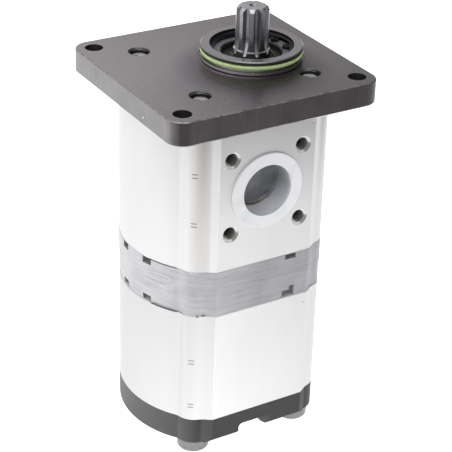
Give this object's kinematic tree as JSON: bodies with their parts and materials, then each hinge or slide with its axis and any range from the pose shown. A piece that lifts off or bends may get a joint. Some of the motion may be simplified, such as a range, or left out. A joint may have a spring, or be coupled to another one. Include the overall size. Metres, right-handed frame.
{
  "type": "tandem gear pump",
  "caption": "Tandem hydraulic gear pump: two aluminium gear sections behind a dark rectangular mounting plate with a round pilot, a splined drive shaft and capped flange ports.",
  "frame": {"origin": "where the drive shaft's axis meets the mounting face of the plate, at the foot of the pilot", "axes": "+Z along the drive shaft, out of the pilot; -Y out of the inlet port; X across the two gear axes, with the driven gears at negative X"},
  "size_m": [0.1126, 0.107, 0.222],
  "materials": {
    "plate_iron": "machined and blackened, satin",
    "cover_iron": "cast and painted, matte",
    "body_aluminium": "extruded, machined faces, satin",
    "cast_aluminium": "die cast, matte",
    "block_aluminium": "machined",
    "gear_steel": "ground",
    "spring_steel": "phosphated, dark",
    "zinc_steel": "zinc plated",
    "bush_bronze": "bronze-backed bearing lining",
    "green_rubber": "light green, smooth",
    "black_rubber": "black, smooth",
    "backup_plastic": "off-white",
    "cap_plastic": "milky, translucent"
  },
  "bodies": {
    "housing": {"mounting_plate": "plate_iron", "pilot_o_ring": "green_rubber", "seal_circlip": "spring_steel", "shaft_seal": "black_rubber", "shaft_seal_spring": "spring_steel", "front_body": "body_aluminium", "middle_plate": "cast_aluminium", "rear_body": "body_aluminium", "rear_cover": "cover_iron", "front_body_seals": "black_rubber", "rear_body_seals": "black_rubber", "front_bearing_block_upper": "block_aluminium", "front_bearing_block_lower": "block_aluminium", "rear_bearing_block_upper": "block_aluminium", "rear_bearing_block_lower": "block_aluminium", "front_bushes": "bush_bronze", "rear_bushes": "bush_bronze", "front_pressure_seals": "black_rubber", "front_backup_rings": "backup_plastic", "rear_pressure_seals": "black_rubber", "rear_backup_rings": "backup_plastic", "dowel_pins": "gear_steel", "through_bolts": "zinc_steel"},
    "drive_line": {"drive_gear_shaft": "gear_steel", "drive_coupling": "gear_steel", "rear_drive_gear": "gear_steel"},
    "front_idler": {"front_driven_gear": "gear_steel"},
    "rear_idler": {"rear_driven_gear": "gear_steel"},
    "inlet_cap": {"inlet_port_cap": "cap_plastic"},
    "front_cap": {"front_outlet_cap": "cap_plastic"},
    "rear_cap": {"rear_outlet_cap": "cap_plastic"}
  },
  "joints": [
    {"name": "drive_spin", "type": "hinge", "parent": "housing", "child": "drive_line", "pos_m": [0, 0, 0], "axis": [0, 0, 1], "continuous": true},
    {"name": "front_idler_spin", "type": "hinge", "parent": "housing", "child": "front_idler", "pos_m": [-0.03132, 0, 0], "axis": [0, 0, 1], "continuous": true},
    {"name": "rear_idler_spin", "type": "hinge", "parent": "housing", "child": "rear_idler", "pos_m": [-0.03132, 0, 0], "axis": [0, 0, 1], "continuous": true},
    {"name": "inlet_cap_pull", "type": "slide", "parent": "housing", "child": "inlet_cap", "axis": [0, -1, 0], "range_m": [0, 0.03]},
    {"name": "front_cap_pull", "type": "slide", "parent": "housing", "child": "front_cap", "axis": [0, 1, 0], "range_m": [0, 0.02]},
    {"name": "rear_cap_pull", "type": "slide", "parent": "housing", "child": "rear_cap", "axis": [0, 1, 0], "range_m": [0, 0.02]}
  ],
  "couplings": [
    {"joint": "front_idler_spin", "follows": "drive_spin", "ratio": -1},
    {"joint": "rear_idler_spin", "follows": "drive_spin", "ratio": -1}
  ]
}
